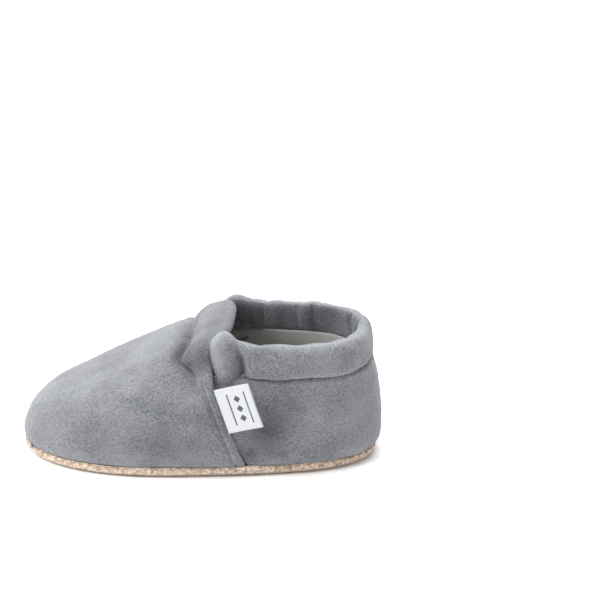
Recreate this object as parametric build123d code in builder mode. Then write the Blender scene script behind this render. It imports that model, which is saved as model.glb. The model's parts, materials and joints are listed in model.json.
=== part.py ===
from build123d import *
import os
from math import cos, pi, sin

# Baby bootie with a soft sole, for the left foot.
# Millimetres, +Z up, toe towards -Y, the label on the +X side (outside of the foot).
# The origin is on the ground, under the middle of the bootie.

# ---------------------------------------------------------------- overall sizes
bootie_length = 130.0        # tip of the toe to the back of the heel
sole_width = 62.0            # across the ball of the foot
heel_width = 51.0            # across the heel, at the sole seam
instep_height = 52.5         # ground to the top of the instep edge
collar_height = 48.6         # ground to the top of the heel collar
collar_spread = 49.0         # outside width of the upper at the collar

# ---------------------------------------------------------------- sole layers
outsole_thickness = 1.6      # grip cloth under the foot
outsole_wall = 1.5           # grip cloth where it turns up round the edge
sole_seam_height = 4.2       # ground to the seam between sole and upper
sole_turn = 3.6              # how far the flat underside lies inside the seam line
padding_thickness = 2.3      # soft wadding between outsole and insole
insole_thickness = 0.9       # cotton sock
layer_gap = 0.1              # between two cloths that lie on each other

# ---------------------------------------------------------------- upper cloths
velour_thickness = 1.3       # pile cloth of both outer panels
lining_thickness = 0.7       # ribbed cotton
lap_width = 8.0              # how far the toe panel laps over the heel panel
seam_gap = 0.15              # between the edges of two panels that meet

# ---------------------------------------------------------------- elastic casings
collar_width = 12.4          # rolled heel casing, top to stitch line
collar_thickness = 5.2       # rolled heel casing, through both walls
collar_gap = 2.4             # its front ends behind the edge of the toe panel
instep_width = 12.4          # casing at the edge of the toe panel
instep_puff = 0.4            # how far the casing stands above the toe panel
casing_drop = 8.0            # how far its two ends hang below the top of the instep
instep_wall = 1.1            # cloth wall over and under the instep elastic
channel_edge = 0.95          # cloth from an elastic's channel to the edges of its casing
channel_clearance = 0.25     # free space round an elastic in its channel
elastic_thickness = 0.9      # flat woven elastic, as wide as its channel lets it be

# ---------------------------------------------------------------- label and threads
label_length = 16.4          # along the seam that holds it
label_reach = 14.0           # from the seam to its fold
label_leaf = 0.3             # one leaf of the folded ribbon
label_loop = 0.3             # space between the two leaves
label_lift = 0.95            # root of the label above the heel panel
label_gap = 0.9              # root of the label behind the edge of the toe panel
label_splay = 18.0           # degrees it stands away from the panel
label_middle_height = 25.4   # height of the middle of its root above the ground
thread_radius = 0.22
thread_stand = 0.36          # middle of a sole thread outside the seam line
pile_stand = 0.7             # middle of a thread above the pile cloth
stitch_length = 2.1
stitch_pitch = 3.4
edge_stitch_inset = 2.3      # stitch line to the edge of the toe panel
seam_back = 1.2              # instep stitch line in front of the casing

# ---------------------------------------------------------------- body shape
toe_y = -bootie_length / 2
heel_y = bootie_length / 2
toe_under = 0.5              # sole seam behind the tip of the toe
heel_under = 3.8             # sole seam in front of the back of the heel
side_bulge = 0.9             # upper wider than the sole seam, each side
heel_bulge = 1.8             # the same at the heel
fullness = 1.035             # makes up for the rounding of the ends
rise = instep_height - sole_seam_height


class Level:
    """One horizontal outline of the outside of the upper."""

    def __init__(self, height, front, slope, back, ball_half, heel_half, roundness):
        self.height = height          # above the ground
        self.front = front            # Y of its front end
        self.slope = slope            # how fast the front end recedes as it rises
        self.back = back              # Y of its back end
        self.ball_half = ball_half    # half width towards the front
        self.heel_half = heel_half    # half width towards the back
        self.roundness = roundness    # 2 is an ellipse, more is squarer


ball_half = sole_width / 2
heel_half = heel_width / 2
collar_half = collar_spread / 2
throat = bootie_length * 0.58         # toe tip to the edge of the opening

# From the sole seam up. Heights are shares of the rise, and fronts of the throat, so that the
# outlines stay in step when a size changes. The last one is above the instep, to be cut off.
levels = [
    Level(sole_seam_height, toe_y + toe_under, 0.0, heel_y - heel_under,
          ball_half, heel_half, 2.35),
    Level(sole_seam_height + 0.09 * rise, toe_y, 0.2, heel_y - 0.8,
          ball_half + 0.7 * side_bulge, heel_half + 0.8 * heel_bulge, 2.35),
    Level(sole_seam_height + 0.21 * rise, toe_y + 0.030 * throat, 0.7, heel_y,
          ball_half + side_bulge, heel_half + heel_bulge, 2.35),
    Level(sole_seam_height + 0.335 * rise, toe_y + 0.110 * throat, 1.4, heel_y - 0.2,
          ball_half + 0.2 * side_bulge, heel_half + 0.9 * heel_bulge, 2.4),
    Level(sole_seam_height + 0.48 * rise, toe_y + 0.275 * throat, 1.9, heel_y - 1.2,
          0.7 * ball_half + 0.3 * collar_half, heel_half + 0.4 * heel_bulge, 2.5),
    Level(sole_seam_height + 0.64 * rise, toe_y + 0.470 * throat, 1.9, heel_y - 2.8,
          0.35 * ball_half + 0.65 * collar_half, 0.4 * heel_half + 0.6 * collar_half, 2.55),
    Level(sole_seam_height + 0.79 * rise, toe_y + 0.655 * throat, 2.0, heel_y - 4.2,
          collar_half, collar_half, 2.6),
    Level(sole_seam_height + 0.90 * rise, toe_y + 0.80 * throat, 2.5, heel_y - 5.0,
          collar_half - 0.9, collar_half - 0.3, 2.7),
    Level(sole_seam_height + 0.97 * rise, toe_y + 0.925 * throat, 3.3, heel_y - 5.4,
          collar_half - 1.3, collar_half - 0.5, 2.8),
    Level(sole_seam_height + 1.07 * rise, toe_y + 1.15 * throat, 3.6, heel_y - 5.8,
          collar_half - 2.0, collar_half - 0.8, 2.9),
]

edge_sole_y = 0.2508 * heel_y         # edge of the toe panel where it meets the sole
edge_waist_y = 0.0646 * heel_y        # its furthest point forward, at the side of the collar
edge_top_y = 0.1631 * heel_y          # edge of the toe panel at the top of the instep
beyond = 2 * bootie_length            # larger than anything in the bootie


def between(low, high, share, name):
    """One value of two levels, mixed."""
    return getattr(low, name) * (1 - share) + getattr(high, name) * share


def level_at(height):
    """The outline at any height, mixed from the two levels round it."""
    for low, high in zip(levels, levels[1:]):
        if height <= high.height or high is levels[-1]:
            share = (height - low.height) / (high.height - low.height)
            names = ("front", "slope", "back", "ball_half", "heel_half", "roundness")
            return Level(height, *[between(low, high, share, name) for name in names])


def widest_at(level, along, inset):
    """Half width of an outline before its ends round off; along runs from -1 to 1."""
    turn = max(-1.0, min(1.0, 1.5 * along + 0.1))
    share = (1 + sin(turn * pi / 2)) / 2
    return fullness * (level.ball_half * (1 - share) + level.heel_half * share) - inset


def half_width_at(level, y, inset):
    """Half width of an outline at a given Y, where the cloth is set in by inset."""
    front = level.front + inset * (1 + level.slope ** 2) ** 0.5
    back = level.back - inset
    middle = (front + back) / 2
    along = (y - middle) / ((back - front) / 2)
    room = max(0.0, 1 - abs(along) ** level.roundness)
    return widest_at(level, along, inset) * room ** (1 / level.roundness)


def outline_points(level, inset, steps=16):
    """Points round one outline, from the toe round the +X side and back."""
    front = level.front + inset * (1 + level.slope ** 2) ** 0.5
    back = level.back - inset
    points = []
    for step in range(steps):
        turn = 2 * pi * step / steps
        reach = abs(cos(turn)) ** (2 / level.roundness)
        along = -reach if cos(turn) > 0 else reach
        y = (front + back) / 2 + along * (back - front) / 2
        reach = abs(sin(turn)) ** (2 / level.roundness)
        side = 1 if sin(turn) > 0 else -1
        points.append((widest_at(level, along, inset) * reach * side, y))
    return points


def upper_block(inset, bottom=sole_seam_height):
    """Solid inside the upper, set in by inset, from bottom to above the instep."""
    heights = [bottom] + [level.height for level in levels if level.height > bottom + 1]
    with BuildPart() as block:
        for height in heights:
            with BuildSketch(Plane.XY.offset(height)):
                with BuildLine():
                    Spline(outline_points(level_at(height), inset), periodic=True)
                make_face()
        loft()
    return block.part


def edge_curve_points(shift):
    """Edge of the toe panel seen from the side, moved along Y by shift."""
    return [
        (edge_sole_y + shift, sole_seam_height - 1.0),
        ((edge_sole_y + 2 * edge_waist_y) / 3 + 1.0 + shift, 0.38 * instep_height),
        (edge_waist_y + shift, 0.75 * instep_height),
        (edge_waist_y + 1.2 + shift, 0.89 * instep_height),
        (edge_top_y + shift, instep_height + 1.0),
    ]


def edge_y_at(height, shift=0.0):
    """Y of the edge of the toe panel at a height, read off its curve."""
    curve = Spline(*[(y, z) for y, z in edge_curve_points(shift)])
    low, high = 0.0, 1.0
    for _ in range(30):
        middle = (low + high) / 2
        if (curve @ middle).Y < height:
            low = middle
        else:
            high = middle
    return (curve @ low).X


def front_block(shift, bottom, top):
    """Everything in front of the edge of the toe panel, moved along Y by shift."""
    points = edge_curve_points(shift)
    low, high = bottom - beyond, top + beyond
    with BuildPart() as block:
        with BuildSketch(Plane.YZ.offset(-beyond)):
            with BuildLine():
                Spline(*points)
                Polyline(points[0], (points[0][0], low), (-beyond, low), (-beyond, high),
                         (points[-1][0], high), points[-1])
            make_face()
        extrude(amount=2 * beyond)
        split(bisect_by=Plane.XY.offset(bottom), keep=Keep.TOP)
        split(bisect_by=Plane.XY.offset(top), keep=Keep.BOTTOM)
    return block.part


def behind_block(shift, bottom, top):
    """Everything behind the edge of the toe panel, moved along Y by shift."""
    with BuildPart() as block:
        with Locations((0, 0, bottom)):
            Box(beyond, beyond, top - bottom, align=(Align.CENTER, Align.CENTER, Align.MIN))
        add(front_block(shift, bottom - 1, top + 1), mode=Mode.SUBTRACT)
    return block.part


def edge_band(front_shift, back_shift, bottom, top):
    """Everything between two lines beside the edge of the toe panel."""
    with BuildPart() as band:
        add(behind_block(front_shift, bottom, top))
        add(front_block(back_shift, bottom - 1, top + 1), mode=Mode.INTERSECT)
    return band.part


def shell(outer, inner, region):
    """Cloth between two nested blocks, within a region."""
    with BuildPart() as cloth:
        add(outer)
        add(inner, mode=Mode.SUBTRACT)
        add(region, mode=Mode.INTERSECT)
    return cloth.part


def stitch_row(path):
    """Separate stitches, evenly spaced along a path."""
    count = max(2, int(path.length / stitch_pitch))
    with BuildPart() as row:
        with Locations(*[path.location_at((index + 0.5) / count) for index in range(count)]):
            Cylinder(thread_radius, stitch_length)
    return row.part


# ---------------------------------------------------------------- derived sizes
heel_inset = velour_thickness + layer_gap
lining_inset = heel_inset + velour_thickness + layer_gap
foot_inset = lining_inset + lining_thickness
upper_bottom = sole_seam_height + layer_gap
collar_bottom = collar_height - collar_width
casing_bottom = instep_height - casing_drop
tuck_top = casing_bottom - 0.5
casing_inner = 2 * instep_wall + elastic_thickness + 2 * channel_clearance - instep_puff

outer_block = upper_block(0.0)
outer_inside = upper_block(velour_thickness)
heel_block = upper_block(heel_inset)
heel_inside = upper_block(heel_inset + velour_thickness)
lining_block = upper_block(lining_inset)
foot_space = upper_block(foot_inset)
top = instep_height + 3.0

toe_side = front_block(0.0, upper_bottom, top)
casing_room = behind_block(-instep_width - seam_gap, casing_bottom - seam_gap, top)
casing_band = edge_band(-instep_width, 0.0, casing_bottom, top)
channel_band = edge_band(-instep_width + channel_edge, -channel_edge,
                         casing_bottom + instep_wall, top)

# ---------------------------------------------------------------- outsole
with BuildPart() as outsole:
    for height, inset in ((0.0, sole_turn), (0.35 * sole_seam_height, 0.35 * sole_turn),
                          (sole_seam_height, 0.0)):
        with BuildSketch(Plane.XY.offset(height)):
            with BuildLine():
                Spline(outline_points(levels[0], inset), periodic=True)
            make_face()
    loft()
    with BuildSketch(Plane.XY.offset(outsole_thickness)):
        with BuildLine():
            Spline(outline_points(levels[0], outsole_wall + 0.2 * sole_turn), periodic=True)
        make_face()
    extrude(amount=sole_seam_height, mode=Mode.SUBTRACT)
outsole.part.label = "outsole"

# ---------------------------------------------------------------- padding and insole
padding_bottom = outsole_thickness + layer_gap
with BuildPart() as sole_padding:
    with BuildSketch(Plane.XY.offset(padding_bottom)):
        with BuildLine():
            Spline(outline_points(levels[0], outsole_wall + 0.2 * sole_turn + 0.4), periodic=True)
        make_face()
    extrude(amount=padding_thickness)
sole_padding.part.label = "sole_padding"

insole_bottom = padding_bottom + padding_thickness + layer_gap
with BuildPart() as insole:
    with BuildSketch(Plane.XY.offset(insole_bottom)):
        with BuildLine():
            Spline(outline_points(levels[0], foot_inset + 0.3), periodic=True)
        make_face()
    extrude(amount=insole_thickness)
insole.part.label = "insole"

# ---------------------------------------------------------------- toe panel and its lining
with BuildPart() as toe_panel:
    add(shell(outer_block, outer_inside, toe_side))
    add(casing_room, mode=Mode.SUBTRACT)
toe_panel.part.label = "toe_panel"

with BuildPart() as toe_lining:
    add(shell(lining_block, foot_space, toe_side))
    add(casing_room, mode=Mode.SUBTRACT)
toe_lining.part.label = "toe_lining"

# ---------------------------------------------------------------- heel panel and its lining
heel_side = behind_block(seam_gap, upper_bottom, collar_bottom - seam_gap)
tuck_side = edge_band(-lap_width, seam_gap + 0.5, upper_bottom, tuck_top)
with BuildPart() as heel_panel:
    add(shell(heel_block, heel_inside, heel_side))
    add(shell(heel_block, heel_inside, tuck_side))
heel_panel.part.label = "heel_panel"

with BuildPart() as heel_lining:
    add(shell(lining_block, foot_space, heel_side))
heel_lining.part.label = "heel_lining"

# ---------------------------------------------------------------- instep casing and elastic
with BuildPart() as instep_casing:
    add(shell(upper_block(-instep_puff), upper_block(casing_inner), casing_band))
    add(shell(upper_block(instep_wall - instep_puff),
              upper_block(casing_inner - instep_wall), channel_band), mode=Mode.SUBTRACT)
instep_casing.part.label = "instep_casing"

elastic_top = instep_wall - instep_puff + channel_clearance
elastic_edge = channel_edge + channel_clearance
elastic_band = edge_band(-instep_width + elastic_edge, -elastic_edge,
                         casing_bottom + 1.3 * instep_wall, top)
with BuildPart() as instep_elastic:
    add(shell(upper_block(elastic_top), upper_block(elastic_top + elastic_thickness),
              elastic_band))
instep_elastic.part.label = "instep_elastic"

# ---------------------------------------------------------------- heel collar and elastic
collar_middle = collar_bottom + collar_width / 2
collar_level = level_at(collar_middle)
collar_round = collar_half - collar_thickness / 2
collar_back = collar_level.back - heel_inset - collar_thickness / 2
collar_front = edge_y_at(collar_middle) + collar_gap
with BuildLine(Plane.XY.offset(collar_middle)) as collar_path:
    side = Line((collar_round, collar_front), (collar_round, collar_back - collar_round))
    back = ThreePointArc(side @ 1, (0, collar_back), (-collar_round, collar_back - collar_round))
    Line(back @ 1, (-collar_round, collar_front))
collar_start = Plane(origin=side @ 0, x_dir=(0, 0, 1), z_dir=side % 0)


def collar_run(width, thickness, rounding):
    """A band swept along the collar, with rounded long edges."""
    with BuildPart() as band:
        add(collar_path.line)
        with BuildSketch(collar_start):
            RectangleRounded(width, thickness, rounding)
        sweep()
    return band.part


with BuildPart() as heel_collar:
    add(collar_run(collar_width, collar_thickness, 0.42 * collar_thickness))
    add(collar_run(collar_width - 2 * channel_edge,
                   elastic_thickness + 2 * channel_clearance, channel_clearance),
        mode=Mode.SUBTRACT)
heel_collar.part.label = "heel_collar"

with BuildPart() as collar_elastic:
    add(collar_run(collar_width - 2 * elastic_edge, elastic_thickness, 0.2 * elastic_thickness))
collar_elastic.part.label = "collar_elastic"

# ---------------------------------------------------------------- folded side label
root_low = label_middle_height - 0.47 * label_length
root_high = label_middle_height + 0.47 * label_length


def label_root(height):
    """Point on the label's seam at a height, just outside the heel panel."""
    y = edge_y_at(height) + label_gap
    x = half_width_at(level_at(height), y, heel_inset) + label_lift
    return Vector(x, y, height)


root_bottom = label_root(root_low)
root_top = label_root(root_high)
root_along = (root_top - root_bottom).normalized()
root_middle = (root_top + root_bottom) * 0.5
splayed = Vector(sin(label_splay * pi / 180), cos(label_splay * pi / 180), 0)
outward = root_along.cross(splayed).normalized() * -1
label_thick = 2 * label_leaf + label_loop
label_plane = Plane(origin=root_middle + root_along * (label_length / 2),
                    x_dir=root_along.cross(outward), z_dir=root_along * -1)
with BuildPart() as side_label:
    with BuildSketch(label_plane):
        with BuildLine():
            near = Line((0, 0), (label_reach - label_thick / 2, 0))
            fold = ThreePointArc(near @ 1, (label_reach, label_thick / 2),
                                 (label_reach - label_thick / 2, label_thick))
            far_leaf = Line(fold @ 1, (0, label_thick))
            inner_end = Line(far_leaf @ 1, (0, label_thick - label_leaf))
            inner_far = Line(inner_end @ 1, (label_reach - label_thick / 2,
                                             label_thick - label_leaf))
            inner_fold = ThreePointArc(inner_far @ 1, (label_reach - label_leaf, label_thick / 2),
                                       (label_reach - label_thick / 2, label_leaf))
            inner_near = Line(inner_fold @ 1, (0, label_leaf))
            Line(inner_near @ 1, near @ 0)
        make_face()
    extrude(amount=label_length)
side_label.part.label = "side_label"
print("label hinge, point", root_middle + outward * (label_thick / 2), "axis", root_along * -1)

# ---------------------------------------------------------------- stitches
with BuildLine(Plane.XY.offset(sole_seam_height)) as sole_seam:
    Spline(outline_points(levels[0], -thread_stand), periodic=True)
with BuildPart() as sole_seam_stitches:
    add(stitch_row(sole_seam.line.edge()))
sole_seam_stitches.part.label = "sole_seam_stitches"

seam_heights = [sole_seam_height + 2.5 + step * (tuck_top - sole_seam_height - 4.5) / 6
                for step in range(7)]
side_points = []
for height in seam_heights:
    y = edge_y_at(height, -edge_stitch_inset)
    side_points.append((half_width_at(level_at(height), y, -pile_stand), y, height))
with BuildPart() as edge_stitches:
    add(stitch_row(Spline(*side_points)))
    mirror(about=Plane.YZ)
edge_stitches.part.label = "edge_stitches"

collar_seam_z = collar_bottom - 0.8
collar_seam_level = level_at(collar_seam_z)
collar_seam_points = [
    (x, y, collar_seam_z)
    for x, y in outline_points(collar_seam_level, heel_inset - pile_stand, steps=48)
    if y > edge_y_at(collar_seam_z) + stitch_pitch
]
with BuildPart() as collar_stitches:
    add(stitch_row(Spline(*collar_seam_points)))
collar_stitches.part.label = "collar_stitches"

instep_seam_shift = -instep_width - seam_back
instep_seam_low = casing_bottom + 0.5


def seam_half_width(height):
    """Half width of the pile cloth where the instep stitch line crosses a height."""
    y = edge_y_at(height, instep_seam_shift)
    return half_width_at(level_at(height), y, -pile_stand)


def seam_point(x):
    """Point of the instep stitch line at a given X of the +X side."""
    low, high = instep_seam_low, top
    for _ in range(20):
        middle = (low + high) / 2
        if seam_half_width(middle) > x:
            low = middle
        else:
            high = middle
    return (x, edge_y_at(low, instep_seam_shift), low)


seam_reach = seam_half_width(instep_seam_low)
near_points = [seam_point(share * seam_reach) for share in (1.0, 0.85, 0.7, 0.5, 0.25)]
far_points = [(-x, y, z) for x, y, z in reversed(near_points)]
with BuildPart() as instep_stitches:
    add(stitch_row(Spline(*near_points, seam_point(0), *far_points)))
instep_stitches.part.label = "instep_stitches"

# ---------------------------------------------------------------- files
nodes = (outsole, sole_padding, insole, toe_panel, toe_lining, heel_panel, heel_lining,
         instep_casing, instep_elastic, heel_collar, collar_elastic, side_label,
         sole_seam_stitches, edge_stitches, collar_stitches, instep_stitches)
os.makedirs("parts", exist_ok=True)
for node in nodes:
    export_step(node.part, f"parts/{node.part.label}.step")
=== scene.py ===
"""Looks of a soft-sole baby bootie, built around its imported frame.

Work is done in millimetres and turned into metres as each mesh is finished.
"""

import json
import logging
import math
from dataclasses import dataclass, field
from enum import Enum

import bmesh
import bpy
import numpy as np
from mathutils import Matrix, Vector, noise
from mathutils.bvhtree import BVHTree
from mathutils.kdtree import KDTree

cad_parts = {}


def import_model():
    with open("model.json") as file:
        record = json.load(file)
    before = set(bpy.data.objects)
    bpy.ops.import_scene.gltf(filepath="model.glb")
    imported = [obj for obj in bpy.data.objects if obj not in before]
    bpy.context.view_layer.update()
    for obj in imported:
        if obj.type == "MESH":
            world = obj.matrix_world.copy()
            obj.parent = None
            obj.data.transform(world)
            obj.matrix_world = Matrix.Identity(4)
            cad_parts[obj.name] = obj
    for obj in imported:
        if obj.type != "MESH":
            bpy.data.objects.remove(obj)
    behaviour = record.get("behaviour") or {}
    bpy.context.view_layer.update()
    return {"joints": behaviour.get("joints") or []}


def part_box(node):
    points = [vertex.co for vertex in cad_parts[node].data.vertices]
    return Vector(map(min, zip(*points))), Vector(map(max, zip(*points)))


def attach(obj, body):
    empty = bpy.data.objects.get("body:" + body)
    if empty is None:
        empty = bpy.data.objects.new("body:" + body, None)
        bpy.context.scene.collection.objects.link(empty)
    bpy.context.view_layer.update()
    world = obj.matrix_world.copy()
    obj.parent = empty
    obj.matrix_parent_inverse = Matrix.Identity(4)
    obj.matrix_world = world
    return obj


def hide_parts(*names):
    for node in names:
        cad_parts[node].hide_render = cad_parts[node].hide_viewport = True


MM = 0.001
BODY = "bootie"
LABEL_BODY = "label"
VELOUR_CLOTH = 1.2  # thicknesses, in millimetres
COLLAR_CLOTH = 1.1
LINING_CLOTH = 0.6
SEAM_Z = 4.2  # height of the sole seam
BALL_HALF = 31.0  # half widths of the form at the sole seam
HEEL_HALF = 25.5
# soft hollows in the uppers: x, y, z, size and depth of each, in millimetres; each is also painted
# darker by its depth (painted shade)
TOE_HOLLOWS = (
    (31, -12, 12, 7.0, 0.8), (29, -34, 13, 8.0, 0.6), (27, 4, 22, 8.0, 0.5),
    (-30, -18, 14, 8.0, 0.8), (19, -4.5, 46, 4.5, 1.1), (23, -3, 41, 4.0, 0.8),
    (-19, -5, 45, 5.0, 1.0), (3, -32, 36, 9.0, 0.5), (23, 3, 44, 4.0, 1.0), (-23, 3, 44, 4.0, 1.0),
)
# the first heel hollow sits beside the label's lower edge; its painted shade stands in partly for the
# label's shadow there
HEEL_HOLLOWS = (
    (28, 25, 18, 6.5, 1.1), (29, 19, 8, 4.0, 1.2), (27, 33, 27, 8.0, 0.45),
    (-28, 26, 16, 9.0, 0.9), (12, 62, 20, 9.0, 0.4),
)
LOG = logging.getLogger("bootie")


class Slot(Enum):
    """Material slots of the record."""

    VELOUR = "velour"
    GRIP = "grip_cloth"
    WADDING = "wadding"
    LINING = "lining_cotton"
    ELASTIC = "elastic"
    SATIN = "label_satin"
    SOLE_THREAD = "sole_thread"
    PANEL_THREAD = "panel_thread"


# ------------------------------------------------------------------ small helpers


def hermite(places: np.ndarray, values: np.ndarray, at: np.ndarray | float) -> np.ndarray:
    """Smooth curve through values.

    Args:
        places: where the values stand, rising.
        values: what the curve passes through.
        at: where it is read.

    Returns:
        The curve at those places.
    """
    places, values = np.asarray(places, float), np.asarray(values, float)
    slopes = np.gradient(values, places)
    at = np.clip(at, places[0], places[-1])
    index = np.clip(np.searchsorted(places, at) - 1, 0, len(places) - 2)
    width = places[index + 1] - places[index]
    t = (at - places[index]) / width
    start = (2 * t**3 - 3 * t**2 + 1) * values[index] + (t**3 - 2 * t**2 + t) * width * slopes[index]
    end = (-2 * t**3 + 3 * t**2) * values[index + 1] + (t**3 - t**2) * width * slopes[index + 1]
    return start + end


def along(points: np.ndarray) -> np.ndarray:
    """Length run from the first point to each point of a line."""
    steps = np.linalg.norm(np.diff(points, axis=0), axis=1)
    return np.concatenate([[0.0], np.cumsum(steps)])


def evenly(points: np.ndarray, count: int) -> np.ndarray:
    """A line of count points, evenly spaced along a given line."""
    run = along(points)
    wanted = np.linspace(0, run[-1], count)
    return np.stack([np.interp(wanted, run, points[:, axis]) for axis in range(points.shape[1])], axis=1)


def bump(distance: np.ndarray, centre: float, width: float) -> np.ndarray:
    """Round hill of height one at centre."""
    return np.exp(-(((distance - centre) / width) ** 2))


def ramp(value: np.ndarray, low: float, high: float) -> np.ndarray:
    """Smooth step from zero at low to one at high."""
    t = np.clip((value - low) / (high - low), 0, 1)
    return t * t * (3 - 2 * t)


def cloud(points: np.ndarray, size: float, seed: float) -> np.ndarray:
    """Soft random field over a sheet.

    Args:
        points: rows by columns by three, in millimetres.
        size: size of one hump in millimetres.
        seed: shifts the field, so that sheets differ.

    Returns:
        Values from about -1 to 1.
    """
    flat = points.reshape(-1, 3) / size
    shift = Vector((seed, 2.3 * seed, -seed))
    values = [noise.noise(Vector(p) + shift) for p in flat]
    return np.array(values).reshape(points.shape[:2]) * 1.6


def normals_of(points: np.ndarray) -> np.ndarray:
    """Unit normals of a grid of points, columns by rows turned outwards."""
    across = np.gradient(points, axis=1)
    up = np.gradient(points, axis=0)
    normal = np.cross(across, up)
    length = np.linalg.norm(normal, axis=2, keepdims=True)
    return normal / np.maximum(length, 1e-9)


def softened(values: np.ndarray, times: int) -> np.ndarray:
    """Evens out a grid of values, leaving its rim alone."""
    values = values.copy()
    for _ in range(times):
        inner = values[1:-1, :-2] + values[1:-1, 2:] + values[:-2, 1:-1] + values[2:, 1:-1]
        values[1:-1, 1:-1] = 0.5 * values[1:-1, 1:-1] + 0.125 * inner
    return values


def row_run(points: np.ndarray) -> np.ndarray:
    """Length run along every row of a grid."""
    steps = np.linalg.norm(np.diff(points, axis=1), axis=2)
    return np.hstack([np.zeros((points.shape[0], 1)), np.cumsum(steps, axis=1)])


def back_run(points: np.ndarray) -> np.ndarray:
    """Length run up every column of a grid, from its last row back."""
    steps = np.linalg.norm(np.diff(points, axis=0), axis=2)
    return np.vstack([np.zeros((1, points.shape[1])), np.cumsum(steps[::-1], axis=0)])


def at_run(place: float, run: np.ndarray, line: np.ndarray) -> list[float]:
    """The point of a line at a length along it."""
    return [np.interp(place, run, line[:, axis]) for axis in range(3)]


def press(points: np.ndarray, lift: np.ndarray, hollows: tuple) -> np.ndarray:
    """Presses soft hollows into a sheet.

    Args:
        points: the sheet's grid.
        lift: heights so far.
        hollows: x, y, z, size and depth of each, in millimetres.

    Returns:
        The heights with the hollows taken off.
    """
    for x, y, z, size, depth in hollows:
        gap = np.linalg.norm(points - np.array([x, y, z]), axis=2)
        lift = lift - depth * np.exp(-((gap / size) ** 2))
    return lift


# ------------------------------------------------------------------ the form under the cloth


@dataclass
class Last:
    """The foot-shaped form that the cloth of the upper lies on, read from the frame's boxes."""

    toe_y: float
    heel_y: float
    seam_z: float
    instep_z: float
    ball_half: float
    heel_half: float
    collar_half: float
    rings: int = 90
    spokes: int = 200
    table: np.ndarray = field(init=False)
    tree: BVHTree = field(init=False)

    def __post_init__(self) -> None:
        """Works out the levels of the form and its search tree."""
        rise = self.instep_z - self.seam_z
        throat = 0.58 * (self.heel_y - self.toe_y)
        ball, heel, collar = self.ball_half, self.heel_half, self.collar_half
        toe, back = self.toe_y, self.heel_y
        self.table = np.array([
            [0.00, toe + 0.5, back - 3.8, ball, heel, 2.35],
            [0.09, toe, back - 0.8, ball + 0.7, heel + 1.4, 2.35],
            [0.21, toe + 0.030 * throat, back, ball + 1.0, heel + 1.8, 2.35],
            [0.335, toe + 0.110 * throat, back - 0.2, ball + 0.4, heel + 1.6, 2.4],
            [0.48, toe + 0.275 * throat, back - 1.2, 0.7 * ball + 0.3 * collar, heel + 0.7, 2.5],
            [0.64, toe + 0.470 * throat, back - 2.8, 0.35 * ball + 0.65 * collar,
             0.4 * heel + 0.6 * collar, 2.55],
            [0.79, toe + 0.655 * throat, back - 4.2, collar, collar, 2.6],
            [0.90, toe + 0.800 * throat, back - 5.0, collar - 0.9, collar - 0.3, 2.7],
            [0.97, toe + 0.925 * throat, back - 5.4, collar - 1.3, collar - 0.5, 2.8],
            [1.07, toe + 1.150 * throat, back - 5.8, collar - 2.0, collar - 0.8, 2.9],
        ])
        self.table[:, 0] = self.seam_z + self.table[:, 0] * rise
        heights = np.linspace(self.seam_z, self.table[-1, 0], self.rings)
        grid = np.array([self.ring(z, 0.0, self.spokes) for z in heights])
        self.tree = BVHTree.FromBMesh(grid_mesh(grid))

    def ring(self, z: float, inset: float = 0.0, count: int = 400) -> np.ndarray:
        """One closed outline.

        Args:
            z: its height.
            inset: how far inside the form it lies.
            count: number of points.

        Returns:
            Points from the tip of the toe round the label side and back to the tip.
        """
        front, back, ball, heel, power = (
            float(hermite(self.table[:, 0], self.table[:, column], z)) for column in range(1, 6))
        front, back = front + inset, back - inset
        turn = np.linspace(0, 2 * np.pi, 4001)
        length = -np.sign(np.cos(turn)) * np.abs(np.cos(turn)) ** (2 / power)
        share = (1 + np.sin(np.clip(1.5 * length + 0.1, -1, 1) * np.pi / 2)) / 2
        half = 1.035 * (ball * (1 - share) + heel * share) - inset
        x = half * np.sign(np.sin(turn)) * np.abs(np.sin(turn)) ** (2 / power)
        y = (front + back) / 2 + length * (back - front) / 2
        return evenly(np.stack([x, y, np.full_like(x, z)], axis=1), count)

    def edge_y(self, z: np.ndarray | float) -> np.ndarray:
        """Y of the toe panel's edge at a height."""
        heights = np.array([0.08, 0.34, 0.63, 0.73, 0.86, 0.945, 1.0]) * self.instep_z
        places = np.array([16.3, 11.3, 5.8, 4.2, 3.2, 5.8, 9.2]) * self.heel_y / 65
        return hermite(heights, places, z)

    def edge_point(self, z: float) -> np.ndarray:
        """Where the toe panel's edge crosses the outline at a height, on the label side."""
        ring = self.ring(z, 0.0, 1200)[:600]
        y = float(self.edge_y(z))
        return np.array([np.interp(y, ring[:, 1], ring[:, 0]), y, z])

    def crown_z(self) -> float:
        """Height at which the toe panel's edge passes over the middle of the instep."""
        low, high = 0.9 * self.instep_z, self.table[-1, 0]
        for _ in range(30):
            middle = (low + high) / 2
            front = float(hermite(self.table[:, 0], self.table[:, 1], middle))
            low, high = (middle, high) if front < float(self.edge_y(middle)) else (low, middle)
        return low

    def onto(self, points: np.ndarray) -> np.ndarray:
        """The nearest places on the form."""
        flat = [self.tree.find_nearest(Vector(p))[0] for p in points.reshape(-1, 3)]
        return np.array(flat).reshape(points.shape)


# ------------------------------------------------------------------ making meshes


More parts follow.
